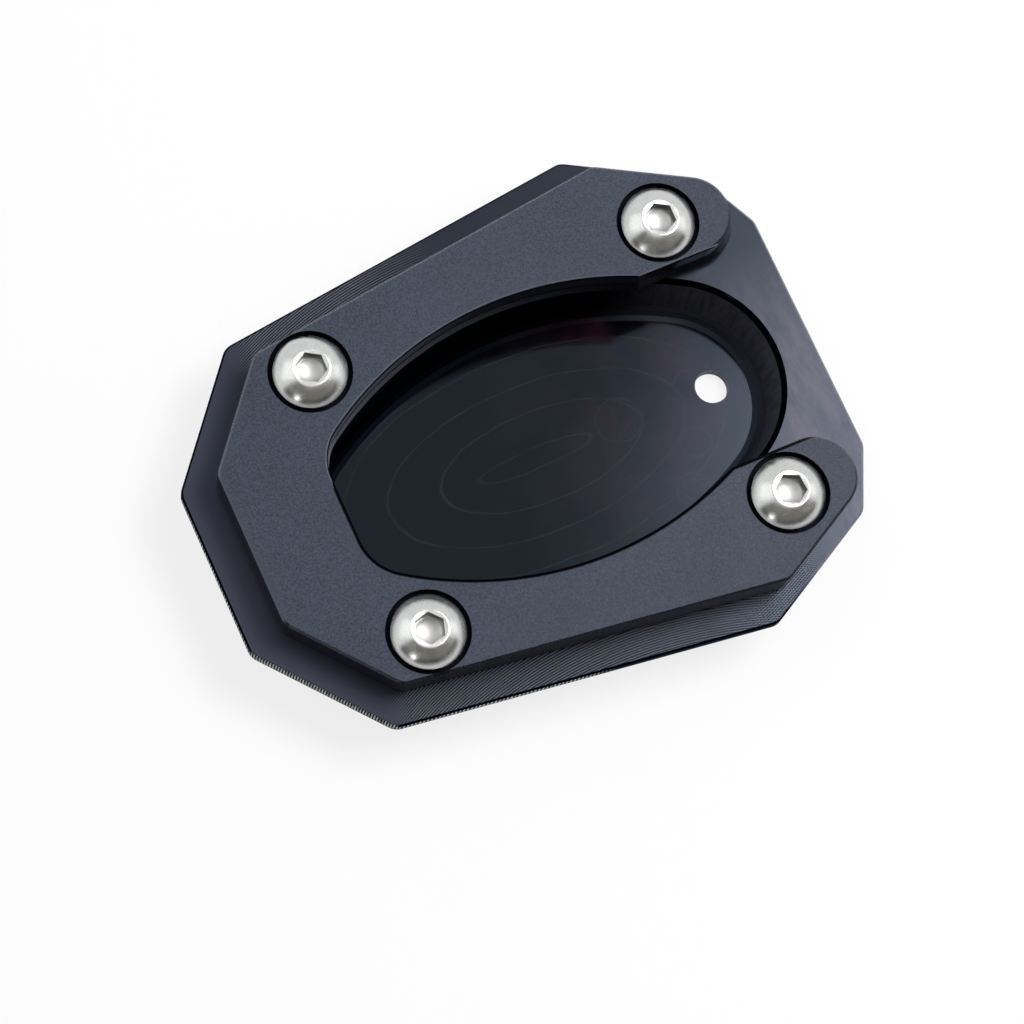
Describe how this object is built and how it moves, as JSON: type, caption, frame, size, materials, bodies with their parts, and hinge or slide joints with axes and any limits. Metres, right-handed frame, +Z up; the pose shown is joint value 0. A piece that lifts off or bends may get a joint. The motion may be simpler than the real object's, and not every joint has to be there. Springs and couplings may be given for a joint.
{
  "type": "kickstand foot enlarger",
  "caption": "Kickstand foot enlarger: a wide bevelled base with a deep oval pocket for the stand's foot, under an open horseshoe clamp plate held by button head screws.",
  "frame": {"origin": "on the ground, in the middle of the base's length and width", "axes": "+X towards the open end between the clamp plate's arms, where the stand's leg comes out; +Z up from the ground to the screw heads"},
  "size_m": [0.092, 0.0736, 0.0196],
  "materials": {
    "base_anodised": "machined and dark anodised, satin",
    "clamp_anodised": "bead blasted and dark anodised, matt",
    "screw_stainless": "satin stainless steel"
  },
  "bodies": {
    "root": {"base_plate": "base_anodised", "clamp_plate": "clamp_anodised", "clamp_screw_1": "screw_stainless", "clamp_screw_2": "screw_stainless", "clamp_screw_3": "screw_stainless", "clamp_screw_4": "screw_stainless"}
  },
  "joints": []
}
